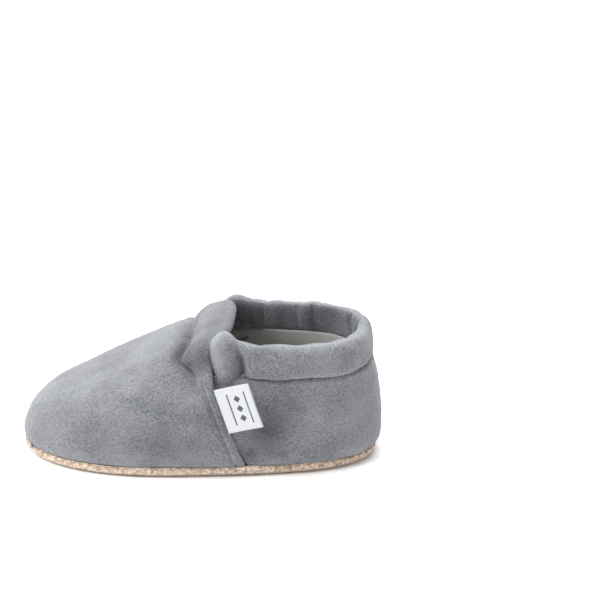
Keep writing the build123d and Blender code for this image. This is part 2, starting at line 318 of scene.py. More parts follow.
def grid_mesh(points: np.ndarray, flat_below: float = -1.0,
              painted_shading: np.ndarray | None = None) -> bmesh.types.BMesh:
    """A sheet of faces over a grid of points.

    Args:
        points: rows by columns by three.
        flat_below: faces lower than this take X and Y as their cloth coordinates.
        painted_shading: painted shade where above zero and painted highlight where below zero, darkening
            or lightening the velour's colour, kept as an attribute.

    Returns:
        A bmesh with a UV map in millimetres along the cloth.
    """
    rows, columns = points.shape[:2]
    bm = bmesh.new()
    bmesh.ops.create_grid(bm, x_segments=columns - 1, y_segments=rows - 1, size=1.0)
    across = np.mean([along(row) for row in points[:: max(1, rows // 6)]], axis=0)
    lines = points.transpose(1, 0, 2)[:: max(1, columns // 6)]
    upward = np.mean([along(line) for line in lines], axis=0)
    cells = {}
    # layer of painted shade and painted highlight, read by the velour's colour
    painted_shading_attribute = bm.verts.layers.float.new("painted_shading")
    for vert in bm.verts:
        column = round((vert.co.x + 1) / 2 * (columns - 1))
        row = round((vert.co.y + 1) / 2 * (rows - 1))
        cells[vert.index] = (row, column)
        vert.co = points[row, column]
        vert[painted_shading_attribute] = 0.0 if painted_shading is None else painted_shading[row, column]
    layer = bm.loops.layers.uv.new("cloth")
    for face in bm.faces:
        flat = max(vert.co.z for vert in face.verts) < flat_below
        for loop in face.loops:
            row, column = cells[loop.vert.index]
            loop[layer].uv = loop.vert.co.xy if flat else (across[column], upward[row])
    return bm


def finish_piece(bm: bmesh.types.BMesh, name: str, material: bpy.types.Material,
                 nodes: tuple[str, ...], body: str = BODY) -> bpy.types.Object:
    """Turns a bmesh in millimetres into a piece that rides on a body.

    Args:
        bm: the mesh.
        name: the piece's name.
        material: its finish.
        nodes: the frame's nodes it stands for.
        body: the body it rides on.

    Returns:
        The new object.
    """
    bmesh.ops.scale(bm, vec=(MM, MM, MM), verts=bm.verts)
    mesh = bpy.data.meshes.new(name)
    bm.to_mesh(mesh)
    bm.free()
    mesh.materials.append(material)
    mesh.shade_smooth()
    piece = bpy.data.objects.new(name, mesh)
    bpy.context.scene.collection.objects.link(piece)
    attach(piece, body)
    if nodes:
        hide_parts(*nodes)
    LOG.info("%s: %d faces", name, len(mesh.polygons))
    return piece


def cut_size(points: np.ndarray) -> tuple[tuple[float, float], float]:
    """Size of the flat piece that a sheet of cloth was cut from.

    Args:
        points: the sheet's grid in millimetres.

    Returns:
        Width and length of the smallest rectangle that holds the cut, and the cut's area,
        in metres.
    """
    width = max(along(row)[-1] for row in points)
    length = max(along(line)[-1] for line in points.transpose(1, 0, 2))
    first = points[1:, 1:] - points[:-1, :-1]
    second = points[1:, :-1] - points[:-1, 1:]
    area = np.linalg.norm(np.cross(first, second), axis=2).sum() / 2
    area = min(area, 0.999 * width * length)
    return (round(width * MM, 4), round(length * MM, 4)), round(area * MM * MM, 6)


def thicken(piece: bpy.types.Object, thickness: float) -> None:
    """Gives a sheet its thickness inwards.

    Args:
        piece: the sheet.
        thickness: in millimetres.
    """
    wall = piece.modifiers.new("thickness", "SOLIDIFY")
    wall.thickness = thickness * MM
    wall.offset = -1
    wall.use_even_offset = False


# ------------------------------------------------------------------ finishes


def lay_cloth(points: np.ndarray, name: str, material: bpy.types.Material,
              nodes: tuple[str, ...], thickness: float, painted_shading: np.ndarray | None = None) -> None:
    """Makes a gathered sheet of cloth over a grid.

    Args:
        points: the sheet's grid in millimetres.
        name: the piece's name.
        material: its finish.
        nodes: the frame's nodes it stands for.
        thickness: of the cloth, in millimetres.
        painted_shading: painted shade and painted highlight for its colour at each point.
    """
    piece = finish_piece(grid_mesh(points, painted_shading=painted_shading), name, material, nodes)
    thicken(piece, thickness)
    flat, area = cut_size(points)


class Graph:
    """Short way to lay nodes in a material or a group."""

    def __init__(self, tree: bpy.types.NodeTree) -> None:
        """Keeps the tree."""
        self.tree = tree

    def node(self, kind: str, **values) -> bpy.types.Node:
        """Adds a node and sets its properties or input sockets.

        Args:
            kind: type name without the ShaderNode prefix.
            values: property names, or input names with spaces as underscores.

        Returns:
            The node.
        """
        node = self.tree.nodes.new("ShaderNode" + kind)
        for name, value in values.items():
            if hasattr(node, name):
                setattr(node, name, value)
            else:
                self.feed(node, name.replace("_", " "), value)
        return node

    def feed(self, node: bpy.types.Node, name: str | int, value) -> None:
        """Sets an input to a value or links an output to it."""
        socket = node.inputs[name]
        if isinstance(value, bpy.types.NodeSocket):
            self.tree.links.new(value, socket)
        else:
            socket.default_value = value

    def math(self, operation: str, *values) -> bpy.types.NodeSocket:
        """A Math node's result."""
        node = self.node("Math", operation=operation)
        for index, value in enumerate(values):
            self.feed(node, index, value)
        return node.outputs[0]

    def mix(self, factor, first, second) -> bpy.types.NodeSocket:
        """A colour mixed from two."""
        node = self.node("Mix", data_type="RGBA")
        for name, value in (("Factor", factor), ("A", first), ("B", second)):
            socket = [s for s in node.inputs if s.name == name and s.enabled][0]
            if isinstance(value, bpy.types.NodeSocket):
                self.tree.links.new(value, socket)
            else:
                socket.default_value = value
        return [s for s in node.outputs if s.enabled][0]


def new_group(name: str, inputs: dict[str, tuple[str, object]], outputs: tuple[str, ...]) -> tuple:
    """An empty shader node group.

    Args:
        name: the group's name.
        inputs: name to (socket kind, default).
        outputs: names of its number outputs.

    Returns:
        The group, its graph, its input node and its output node.
    """
    group = bpy.data.node_groups.new(name, "ShaderNodeTree")
    for label, (kind, default) in inputs.items():
        socket = group.interface.new_socket(label, in_out="INPUT", socket_type="NodeSocket" + kind)
        if kind == "Float":
            socket.default_value = default
    for label in outputs:
        group.interface.new_socket(label, in_out="OUTPUT", socket_type="NodeSocketFloat")
    graph = Graph(group)
    return group, graph, group.nodes.new("NodeGroupInput"), group.nodes.new("NodeGroupOutput")


def tone_group() -> bpy.types.NodeTree:
    """Patches of lighter and darker cloth, broad and fine, from 0 to 1."""
    group, graph, given, result = new_group(
        "cloth_tone", {"Vector": ("Vector", None), "Broad": ("Float", 60.0), "Fine": ("Float", 500.0),
                       "Fine Share": ("Float", 0.5)}, ("Tone",))
    broad = graph.node("TexNoise", Vector=given.outputs["Vector"], Scale=given.outputs["Broad"],
                       Detail=4.0, Roughness=0.6)
    fine = graph.node("TexNoise", Vector=given.outputs["Vector"], Scale=given.outputs["Fine"],
                      Detail=5.0, Roughness=0.7)
    kept = graph.math("SUBTRACT", 1.0, given.outputs["Fine Share"])
    total = graph.math("ADD", graph.math("MULTIPLY", broad.outputs[0], kept),
                       graph.math("MULTIPLY", fine.outputs[0], given.outputs["Fine Share"]))
    graph.feed(result, "Tone", total)
    return group


def weave_group() -> bpy.types.NodeTree:
    """Plain weave: the height of its threads."""
    group, graph, given, result = new_group(
        "plain_weave", {"Vector": ("Vector", None), "Threads": ("Float", 1.0), "Wander": ("Float", 0.2)},
        ("Height",))
    drift = graph.node("TexNoise", Vector=given.outputs["Vector"], Scale=0.9, Detail=2.0)
    shift = graph.node("VectorMath", operation="SCALE")
    graph.feed(shift, 0, drift.outputs["Color"])
    graph.feed(shift, "Scale", given.outputs["Wander"])
    moved = graph.node("VectorMath", operation="ADD")
    graph.feed(moved, 0, given.outputs["Vector"])
    graph.feed(moved, 1, shift.outputs[0])
    split = graph.node("SeparateXYZ")
    graph.feed(split, 0, moved.outputs[0])
    waves = []
    for axis in ("X", "Y"):
        phase = graph.math("MULTIPLY", split.outputs[axis], graph.math(
            "MULTIPLY", given.outputs["Threads"], math.pi))
        waves.append(graph.math("SINE", phase))
    bands = [graph.math("ABSOLUTE", wave) for wave in waves]
    over = graph.math("GREATER_THAN", graph.math("MULTIPLY", *waves), 0.0)
    under = graph.math("SUBTRACT", 1.0, over)
    height = graph.math("ADD", graph.math("MULTIPLY", bands[0], over),
                        graph.math("MULTIPLY", bands[1], under))
    graph.feed(result, "Height", height)
    return group


@dataclass
class Workshop:
    """Keeps the node groups that finishes share."""

    tone: bpy.types.NodeTree = field(default_factory=tone_group)
    weave: bpy.types.NodeTree = field(default_factory=weave_group)

    def start(self, name: str) -> tuple[bpy.types.Material, Graph, bpy.types.Node]:
        """A new material with its graph and its Principled shader."""
        material = bpy.data.materials.new(name)
        material.use_nodes = True
        graph = Graph(material.node_tree)
        shader = material.node_tree.nodes["Principled BSDF"]
        return material, graph, shader

    def place(self, graph: Graph, group: bpy.types.NodeTree, **values) -> bpy.types.Node:
        """Puts a shared group in a material with its own values."""
        node = graph.tree.nodes.new("ShaderNodeGroup")
        node.node_tree = group
        for name, value in values.items():
            graph.feed(node, name.replace("_", " "), value)
        return node


@dataclass(frozen=True)
class VelourFinish:
    """Short cut pile with a soft sheen, brushed patches, a fine fuzzy grain, and painted shade and
    painted highlight from an attribute.
    """

    dark: tuple = (0.120, 0.125, 0.139, 1.0)
    light: tuple = (0.305, 0.312, 0.336, 1.0)
    sheen: float = 0.60

    def build(self, shop: Workshop) -> bpy.types.Material:
        """The finished material."""
        material, graph, shader = shop.start("grey_velour")
        place = graph.node("TexCoord").outputs["Object"]
        laid = graph.node("Mapping", Scale=(1.25, 0.75, 1.25))
        graph.feed(laid, "Vector", place)
        tone = shop.place(graph, shop.tone, Vector=laid.outputs[0], Broad=75.0, Fine=1450.0,
                          Fine_Share=0.70)
        grain = graph.node("TexNoise", Vector=place, Scale=2300.0, Detail=3.0, Roughness=0.65)
        spread = graph.node("MapRange", From_Min=0.40, From_Max=0.60)
        graph.feed(spread, "Value", tone.outputs["Tone"])
        colour = graph.mix(spread.outputs[0], self.dark, self.light)
        # painted shade: the colour is scaled by one minus the painted shading attribute, darker in
        # creases, hollows and the collar's inside, lighter (painted highlight) where the attribute is
        # below zero
        painted_shading_attribute = graph.node("Attribute", attribute_name="painted_shading").outputs["Fac"]
        kept = graph.math("SUBTRACT", 1.0, painted_shading_attribute)
        painted_shading_colour = graph.node("VectorMath", operation="SCALE")
        graph.feed(painted_shading_colour, 0, colour)
        graph.feed(painted_shading_colour, "Scale", kept)
        graph.feed(shader, "Base Color", painted_shading_colour.outputs[0])
        graph.feed(shader, "Roughness", 0.92)
        graph.feed(shader, "Specular IOR Level", 0.12)
        graph.feed(shader, "Sheen Weight", self.sheen)
        graph.feed(shader, "Sheen Roughness", 0.42)
        graph.feed(shader, "Sheen Tint", (0.86, 0.88, 0.93, 1.0))
        height = graph.math("ADD", graph.math("MULTIPLY", tone.outputs["Tone"], 1.0),
                            graph.math("MULTIPLY", grain.outputs[0], 0.55))
        relief = graph.node("Bump", Strength=0.9, Distance=0.0012)
        graph.feed(relief, "Height", height)
        graph.feed(shader, "Normal", relief.outputs[0])
        return material


@dataclass(frozen=True)
class GripFinish:
    """Coarse beige cloth with pale slubs, darker gaps and a pebbled grip face."""

    dark: tuple = (0.230, 0.140, 0.085, 1.0)
    light: tuple = (0.830, 0.690, 0.570, 1.0)

    def build(self, shop: Workshop) -> bpy.types.Material:
        """The finished material."""
        material, graph, shader = shop.start("beige_grip_cloth")
        place = graph.node("TexCoord").outputs["Object"]
        cloth = graph.node("UVMap", uv_map="cloth").outputs[0]
        weave = shop.place(graph, shop.weave, Vector=cloth, Threads=0.85, Wander=1.4)
        tone = shop.place(graph, shop.tone, Vector=place, Broad=330.0, Fine=1500.0, Fine_Share=0.55)
        pebble = graph.node("TexVoronoi", Vector=place, Scale=760.0, Randomness=1.0)
        round_top = graph.math("SUBTRACT", 1.0, pebble.outputs["Distance"])
        light = graph.math("ADD", graph.math("MULTIPLY", weave.outputs["Height"], 0.25),
                           graph.math("MULTIPLY", round_top, 0.75))
        mixed = graph.math("ADD", graph.math("MULTIPLY", light, 0.70),
                           graph.math("MULTIPLY", tone.outputs["Tone"], 0.55))
        spread = graph.node("MapRange", From_Min=0.32, From_Max=0.92)
        graph.feed(spread, "Value", mixed)
        graph.feed(shader, "Base Color", graph.mix(spread.outputs[0], self.dark, self.light))
        graph.feed(shader, "Roughness", 0.88)
        graph.feed(shader, "Specular IOR Level", 0.2)
        graph.feed(shader, "Sheen Weight", 0.15)
        relief = graph.node("Bump", Strength=0.9, Distance=0.0006)
        graph.feed(relief, "Height", mixed)
        graph.feed(shader, "Normal", relief.outputs[0])
        return material


@dataclass(frozen=True)
class RibFinish:
    """Fine ribbed cotton."""

    dark: tuple = (0.270, 0.272, 0.258, 1.0)
    light: tuple = (0.400, 0.402, 0.382, 1.0)
    rib: float = 0.9

    def build(self, shop: Workshop) -> bpy.types.Material:
        """The finished material."""
        material, graph, shader = shop.start("cream_ribbed_cotton")
        place = graph.node("TexCoord").outputs["Object"]
        cloth = graph.node("UVMap", uv_map="cloth").outputs[0]
        split = graph.node("SeparateXYZ")
        graph.feed(split, 0, cloth)
        wave = graph.math("SINE", graph.math("MULTIPLY", split.outputs["X"], 2 * math.pi / self.rib))
        ribs = graph.math("MULTIPLY_ADD", wave, 0.5, 0.5)
        tone = shop.place(graph, shop.tone, Vector=place, Broad=90.0, Fine=1500.0, Fine_Share=0.5)
        mixed = graph.math("ADD", graph.math("MULTIPLY", ribs, 0.5),
                           graph.math("MULTIPLY", tone.outputs["Tone"], 0.6))
        graph.feed(shader, "Base Color", graph.mix(mixed, self.dark, self.light))
        graph.feed(shader, "Roughness", 0.85)
        graph.feed(shader, "Sheen Weight", 0.2)
        relief = graph.node("Bump", Strength=0.6, Distance=0.0003)
        graph.feed(relief, "Height", mixed)
        graph.feed(shader, "Normal", relief.outputs[0])
        return material


@dataclass(frozen=True)
class WovenFinish:
    """Plain woven narrow goods, such as elastic, or a plain cloth."""

    name: str
    dark: tuple
    light: tuple
    threads: float
    roughness: float = 0.7

    def build(self, shop: Workshop) -> bpy.types.Material:
        """The finished material."""
        material, graph, shader = shop.start(self.name)
        place = graph.node("TexCoord").outputs["Object"]
        cloth = graph.node("UVMap", uv_map="cloth").outputs[0]
        weave = shop.place(graph, shop.weave, Vector=cloth, Threads=self.threads, Wander=0.1)
        tone = shop.place(graph, shop.tone, Vector=place, Broad=120.0, Fine=1200.0, Fine_Share=0.5)
        mixed = graph.math("ADD", graph.math("MULTIPLY", weave.outputs["Height"], 0.5),
                           graph.math("MULTIPLY", tone.outputs["Tone"], 0.6))
        graph.feed(shader, "Base Color", graph.mix(mixed, self.dark, self.light))
        graph.feed(shader, "Roughness", self.roughness)
        graph.feed(shader, "Sheen Weight", 0.15)
        relief = graph.node("Bump", Strength=0.5, Distance=0.0002)
        graph.feed(relief, "Height", mixed)
        graph.feed(shader, "Normal", relief.outputs[0])
        return material


@dataclass(frozen=True)
class ThreadFinish:
    """Twisted sewing thread."""

    name: str
    dark: tuple
    light: tuple

    def build(self, shop: Workshop) -> bpy.types.Material:
        """The finished material."""
        material, graph, shader = shop.start(self.name)
        place = graph.node("TexCoord").outputs["Object"]
        tone = shop.place(graph, shop.tone, Vector=place, Broad=900.0, Fine=3500.0, Fine_Share=0.5)
        graph.feed(shader, "Base Color", graph.mix(tone.outputs["Tone"], self.dark, self.light))
        graph.feed(shader, "Roughness", 0.75)
        relief = graph.node("Bump", Strength=0.4, Distance=0.0001)
        graph.feed(relief, "Height", tone.outputs["Tone"])
        graph.feed(shader, "Normal", relief.outputs[0])
        return material


@dataclass(frozen=True)
class SatinFinish:
    """White satin ribbon with a small woven motif of bars and lozenges."""

    ground: tuple = (0.53, 0.54, 0.56, 1.0)
    ink: tuple = (0.022, 0.023, 0.027, 1.0)

    def build(self, shop: Workshop, width: float, length: float) -> bpy.types.Material:
        """The finished material.

        Args:
            shop: the shared groups.
            width: of one leaf, in millimetres, along U.
            length: of the label, in millimetres, along V.

        Returns:
            The material.
        """
        material, graph, shader = shop.start("white_satin_label")
        place = graph.node("TexCoord").outputs["Object"]
        cloth = graph.node("UVMap", uv_map="cloth").outputs[0]
        split = graph.node("SeparateXYZ")
        graph.feed(split, 0, cloth)
        u, v = split.outputs["X"], split.outputs["Y"]
        inside = graph.math("COMPARE", v, length / 2, 0.36 * length)
        bars = [graph.math("MULTIPLY", inside, graph.math("COMPARE", u, share * width, half))
                for share, half in ((0.30, 0.28), (0.80, 0.28))]
        pitch = 3.6
        step = graph.math("SUBTRACT", graph.math("MODULO", graph.math("ADD", v, 20 * pitch - length / 2
                                                                      + pitch / 2), pitch), pitch / 2)
        reach = graph.math("ADD", graph.math("ABSOLUTE", step), graph.math(
            "ABSOLUTE", graph.math("SUBTRACT", u, 0.55 * width)))
        lozenge = graph.math("MULTIPLY", inside, graph.math("LESS_THAN", reach, 1.35))
        ink = graph.math("MAXIMUM", graph.math("MAXIMUM", *bars), lozenge)
        weave = shop.place(graph, shop.weave, Vector=cloth, Threads=5.0, Wander=0.02)
        tone = shop.place(graph, shop.tone, Vector=place, Broad=150.0, Fine=2500.0, Fine_Share=0.4)
        shade = graph.math("MULTIPLY_ADD", tone.outputs["Tone"], 0.10, 0.02)
        pale = graph.mix(shade, self.ground, (0.45, 0.46, 0.49, 1.0))
        graph.feed(shader, "Base Color", graph.mix(graph.math("MULTIPLY", ink, 0.94), pale, self.ink))
        graph.feed(shader, "Roughness", 0.38)
        graph.feed(shader, "Sheen Weight", 0.2)
        relief = graph.node("Bump", Strength=0.35, Distance=0.00012)
        graph.feed(relief, "Height", weave.outputs["Height"])
        graph.feed(shader, "Normal", relief.outputs[0])
        return material


@dataclass
class Finishes:
    """Every finish of the bootie."""

    shop: Workshop = field(default_factory=Workshop)

    def __post_init__(self) -> None:
        """Builds the materials."""
        self.velour = VelourFinish().build(self.shop)
        self.grip = GripFinish().build(self.shop)
        self.lining = RibFinish().build(self.shop)
        self.wadding = WovenFinish("white_wadding", (0.62, 0.62, 0.60, 1), (0.85, 0.85, 0.83, 1),
                                   0.4, 0.95).build(self.shop)
        self.elastic = WovenFinish("white_elastic", (0.55, 0.55, 0.54, 1), (0.85, 0.85, 0.84, 1),
                                   1.6).build(self.shop)
        self.sole_thread = ThreadFinish("beige_thread", (0.20, 0.13, 0.08, 1),
                                        (0.42, 0.31, 0.23, 1)).build(self.shop)
        self.panel_thread = ThreadFinish("grey_thread", (0.07, 0.075, 0.085, 1),
                                         (0.14, 0.15, 0.165, 1)).build(self.shop)


# ------------------------------------------------------------------ the sub-assemblies


@dataclass
class Sole:
    """Cupped grip cloth, wadding and insole."""

    last: Last
    finishes: Finishes
    turn: float = 3.6
    wall: float = 1.3

    def outline(self, inset: float, z: float, count: int) -> np.ndarray:
        """An outline of the sole seam, set in and lowered to z."""
        ring = self.last.ring(self.last.seam_z, inset, count)
        ring[:, 2] = z
        return ring

    def build(self) -> None:
        """Builds the three layers."""
        self.outsole()
        padding = self.layer("sole_padding", 1.75, 4.0, 3.2, self.finishes.wadding, Slot.WADDING)
        inset = 3.9
        insole = self.layer("insole", 4.15, 5.1, inset, self.finishes.lining, Slot.LINING)
        rim = self.outline(inset, 0.0, 400)

    def outsole(self) -> None:
        """The grip cloth, from its turned-in top edge down and under to the middle."""
        seam = self.last.seam_z
        section = [(2.2, seam - 1.3), (1.3, seam - 0.75), (0.5, seam - 0.35), (-0.15, seam - 0.2),
                   (-0.5, seam - 0.55), (-0.65, seam - 1.2), (-0.55, seam - 2.0), (-0.1, seam - 2.85),
                   (0.8, seam - 3.6), (2.1, 0.2), (self.turn, 0.02), (self.turn + 1.6, 0.0)]
        section = evenly(np.array(section), 26)
        count = 420
        rings = [self.outline(inset, z, count) for inset, z in section]
        middle = np.array([0, (self.last.toe_y + self.last.heel_y) / 2, 0.0])
        under = rings[-1]
        for share in np.linspace(0.93, 0.04, 24):
            rings.append(middle + (under - middle) * share)
        points = np.array(rings)[::-1]
        lip = bump(points[:, :, 2], seam - 1.0, 1.6)
        normal = normals_of(points)
        points += normal * (0.16 * cloud(points, 3.2, 4.0) * lip)[:, :, None]
        points += normal * (0.22 * cloud(points, 11.0, 9.0) * lip)[:, :, None]
        points[:, :, 2] = np.maximum(points[:, :, 2], 0.0)
        bm = grid_mesh(points, 0.3)
        bmesh.ops.remove_doubles(bm, verts=bm.verts, dist=0.02)
        hole = [edge for edge in bm.edges if edge.is_boundary and edge.verts[0].co.z < 0.5]
        bmesh.ops.holes_fill(bm, edges=hole, sides=0)
        bmesh.ops.recalc_face_normals(bm, faces=bm.faces)
        piece = finish_piece(bm, "outsole_cloth", self.finishes.grip, ("outsole",))
        thicken(piece, self.wall)

    def layer(self, node: str, low: float, high: float, inset: float,
              material: bpy.types.Material, slot: Slot) -> bpy.types.Object:
        """A flat soft layer with a rounded rim.

        Args:
            node: the frame's node that it stands for.
            low: its underside.
            high: its top.
            inset: rim to the sole seam's outline.
            material: its finish.
            slot: the record's slot; not used.

        Returns:
            The layer.
        """
        middle = np.array([0, (self.last.toe_y + self.last.heel_y) / 2, 0.0])
        rounding = (high - low) / 2
        section = [(inset + rounding, low), (inset + 0.3 * rounding, low + 0.3 * rounding),
                   (inset, low + rounding), (inset + 0.3 * rounding, high - 0.3 * rounding),
                   (inset + rounding, high)]
        rim = [self.outline(set_in, z, 240) for set_in, z in section]
        under = [middle + (rim[0] - middle) * share for share in np.linspace(0.04, 0.95, 12)]
        over = [middle + (rim[-1] - middle) * share for share in np.linspace(0.95, 0.04, 30)]
        for ring in under:
            ring[:, 2] = low
        for ring in over:
            ring[:, 2] = high + 0.25 * np.sin(ring[:, 1] / 9.0) * np.cos(ring[:, 0] / 11.0)
        bm = grid_mesh(np.array(under + rim + over), 99.0)
        bmesh.ops.remove_doubles(bm, verts=bm.verts, dist=0.02)
        bmesh.ops.holes_fill(bm, edges=[e for e in bm.edges if e.is_boundary], sides=0)
        bmesh.ops.recalc_face_normals(bm, faces=bm.faces)
        return finish_piece(bm, node + "_layer", material, (node,))


@dataclass
class ToePanel:
    """Velour over the toes, with its folded sides and its gathered casing over the instep.

    Its grid is a row of arches that lean back from the toe, so the last arch is the panel's edge.
    """

    last: Last
    finishes: Finishes
    rows: int = 150
    columns: int = 281
    toe_run: float = 15.0
    band: float = 12.4
    turn_rows: int = 20
    arches: np.ndarray = field(init=False)
    surface: np.ndarray = field(init=False)

    def __post_init__(self) -> None:
        """Lays the arches on the form."""
        self.arches = self.lay_arches()

    def edge_arch(self) -> np.ndarray:
        """The panel's edge, from the far sole seam over the instep to the label side's."""
        last = self.last
        crown = last.crown_z()
        climb = 1 - (1 - np.linspace(0, 1, 220)) ** 2.2
        side = np.array([last.edge_point(last.seam_z + (crown - last.seam_z) * t) for t in climb])
        side[-1, 0] = 0.0
        side = evenly(side, 300)
        for _ in range(10):
            side[1:-1] = 0.5 * side[1:-1] + 0.25 * (side[:-2] + side[2:])
        far = side * np.array([-1, 1, 1])
        return evenly(np.vstack([far, side[::-1][1:]]), self.columns)

    def lay_arches(self) -> np.ndarray:
        """The even grid of arches on the form."""
        last = self.last
        edge = self.edge_arch()
        seam = last.ring(last.seam_z, 0.0, 3000)[:1500]
        seam = seam[seam[:, 1] <= edge[-1, 1]]
        seam[-1] = edge[-1]
        run = along(seam)
        shares = np.linspace(0, 1, self.rows)
        stops = self.toe_run + (run[-1] - self.toe_run) * shares
        feet = np.stack([np.interp(stops, run, seam[:, axis]) for axis in range(3)], axis=1)
        crown = last.crown_z()
        heights = last.seam_z + (crown - last.seam_z) * np.linspace(0, 1, 300)
        front = hermite(last.table[:, 0], last.table[:, 1], heights)
        ridge = evenly(np.stack([np.zeros(300), front, heights], axis=1), self.rows)
        turns = np.linspace(0, np.pi, 361)[1:-1]
        rows = []
        for foot, top in zip(feet, ridge):
            base = Vector((0.0, foot[1], foot[2] + 0.02))
            up = (Vector(top) - base).normalized()
            hits = [foot * np.array([-1, 1, 1])]
            for turn in turns:
                way = Vector((-math.cos(turn), 0, 0)) + up * math.sin(turn)
                hit = last.tree.ray_cast(base, way.normalized())[0]
                if hit is not None:
                    hits.append(np.array(hit))
            rows.append(evenly(np.vstack(hits + [foot]), self.columns))
        grid = np.array(rows)
        lean = (shares ** 3)[:, None, None]
        grid = grid + (edge - grid[-1])[None] * lean
        rim = grid.copy()
        for _ in range(14):
            for axis in range(3):
                grid[:, :, axis] = softened(grid[:, :, axis], 5)
            grid = last.onto(grid)
            grid[0], grid[-1], grid[:, 0], grid[:, -1] = rim[0], rim[-1], rim[:, 0], rim[:, -1]
        return grid

    def build(self) -> None:
        """Builds the panel."""
        points = self.arches
        normal = normals_of(points)
        to_edge = back_run(points)[::-1]
        from_sole = self.sole_distance(points)
        edge = points[-1]
        edge_run = along(edge)
        casing = ramp(edge[:, 2], 31.0, 43.0)[None, :]
        middle = ramp(edge[:, 2], 40.0, 51.0)[None, :]
        hem = 1 - casing
        puffs = self.puffs(edge_run)[None, :]
        lift = 0.50 * cloud(points, 27.0, 1.0) + 0.28 * cloud(points, 11.0, 2.0)
        lift *= ramp(from_sole, 0, 9)
        lift += 0.07 * cloud(points, 2.6, 3.0)
        lift -= 0.15 * bump(from_sole, 0.0, 0.5)
        lift += 0.60 * bump(from_sole, 2.6, 3.0)
        pucker = np.sin(row_run(points) / 2.2 + 1.4 * cloud(points, 8.0, 5.0))
        lift += 0.15 * pucker * bump(from_sole, 1.8, 2.0)
        wander = 0.8 * cloud(points, 12.0, 6.0)
        fall = 5.0 + (self.band + 1.2 - 5.0) * ramp(edge[:, 2], 37.0, 50.5)[None, :]
        crease = 0.9 * bump(to_edge + wander, fall, 1.3) + 0.6 * bump(to_edge + wander, fall, 4.0)
        near = ramp(edge[:, 0], 4.0, 14.0)[None, :]
        lift -= (1.05 + 0.55 * near) * casing * crease
        lift += casing * (0.3 + 0.6 * middle) * bump(to_edge, 0.45 * fall, 0.38 * fall)
        lift += 0.30 * puffs * casing * bump(to_edge, 0.30 * self.band, 0.60 * self.band)
        lift += 0.45 * puffs * casing * (0.2 + 0.8 * middle) * bump(to_edge, 1.35 * self.band, 7.0)
        lift -= hem * (0.40 * bump(to_edge, 2.5, 0.5) - 0.22 * bump(to_edge, 1.2, 0.8))
        lift += hem * 0.35 * bump(to_edge, 4.6, 1.6)
        lift -= 1.0 * near * bump(edge[:, 2], 25.4, 10.0)[None, :] * (1 - ramp(to_edge, 9.0, 18.0))
        full = lift
        lift = press(points, lift, TOE_HOLLOWS)
        # painted shade: the hollows darken the colour in proportion to their depth, partly standing for
        # pile flattened there; the instep crease is painted darker, more on the label side, and the
        # casing band between the crease and the edge up to 20% darker
        crease_painted_shade = 0.10 + 0.38 * ramp(edge[:, 0], -8.0, 5.0)[None, :]
        painted_shading = 0.32 * (full - lift) + crease_painted_shade * casing * bump(to_edge + wander, fall + 1.0, 2.8)
        painted_shading += 0.20 * casing * (1 - ramp(to_edge + wander, fall - 2.0, fall + 2.0))
        painted_shading = np.vstack([painted_shading, np.repeat(painted_shading[-1:], self.turn_rows, axis=0)])
        points = points + normal * lift[:, :, None]
        self.surface = points
        points = self.with_turned_edge(points, normal, casing[0])
        lay_cloth(points, "toe_panel_cloth", self.finishes.velour,
                  ("toe_panel", "instep_casing"), VELOUR_CLOTH, painted_shading)

    def at_distance(self, distance: float | np.ndarray, lift: float) -> np.ndarray:
        """A line on the finished panel that runs beside its edge.

        Args:
            distance: from the edge, one value or one for each column.
            lift: above the surface.

        Returns:
            One point for each column.
        """
        back = back_run(self.surface)
        under = (self.surface + lift * normals_of(self.surface))[::-1]
        places = np.broadcast_to(distance, (self.columns,))
        return np.array([at_run(places[column], back[:, column], under[:, column])
                         for column in range(self.columns)])

    def sole_distance(self, points: np.ndarray) -> np.ndarray:
        """Distance from each point of a grid to the sole seam."""
        seam = self.last.ring(self.last.seam_z, 0.0, 600)
        tree = KDTree(len(seam))
        for index, point in enumerate(seam):
            tree.insert(Vector(point), index)
        tree.balance()
        gaps = [tree.find(Vector(p))[2] for p in points.reshape(-1, 3)]
        return np.array(gaps).reshape(points.shape[:2])

    def puffs(self, run: np.ndarray) -> np.ndarray:
        """Rounded puffs with narrower creases between them, along the casing.

        Args:
            run: length along the casing.

        Returns:
            Heights from about -1 to 1.
        """
        rng = np.random.default_rng(11)
        drift = np.interp(run, np.linspace(0, run[-1], 14), rng.normal(size=14))
        strength = np.interp(run, np.linspace(0, run[-1], 18), rng.uniform(0.35, 1.0, 18))
        return strength * (1.7 * np.abs(np.sin(run / 6.4 + 0.7 * drift)) - 1.05)

    def with_turned_edge(self, points: np.ndarray, normal: np.ndarray, casing: np.ndarray) -> np.ndarray:
        """Rolls the edge over and lays the turned cloth under the panel.

        Args:
            points: the panel's grid.
            normal: its normals.
            casing: one where the edge is a casing, zero where it is a plain hem.

        Returns:
            The grid with the rows of the turn added.
        """
        edge = points[-1]
        out = normal[-1]
        tangent = np.gradient(edge, axis=0)
        tangent /= np.linalg.norm(tangent, axis=1, keepdims=True)
        forward = np.cross(out, tangent)
        forward /= np.linalg.norm(forward, axis=1, keepdims=True)
        forward *= np.sign(np.sum(forward * (points[-1] - points[-6]), axis=1, keepdims=True))
        roll = (0.75 + 1.05 * casing)[:, None]
        turned = []
        rolled = 9
        for angle in np.radians(np.linspace(20, 180, rolled)):
            turned.append(edge - out * roll * (1 - math.cos(angle)) + forward * roll * math.sin(angle))
        back = back_run(points)
        width = 6.0 + (self.band - 6.0) * casing
        for share in np.linspace(0.1, 1.0, self.turn_rows - rolled):
            row = np.empty_like(edge)
            for column in range(self.columns):
                place = share * width[column]
                under = points[::-1, column] - 2 * roll[column] * normal[::-1, column]
                row[column] = at_run(place, back[:, column], under)
            turned.append(row)
        turned = np.array(turned)
        for _ in range(60):
            beside = 0.25 * (turned[rolled:, :-2] + turned[rolled:, 2:])
            turned[rolled:, 1:-1] = 0.5 * turned[rolled:, 1:-1] + beside
        return np.concatenate([points, turned], axis=0)


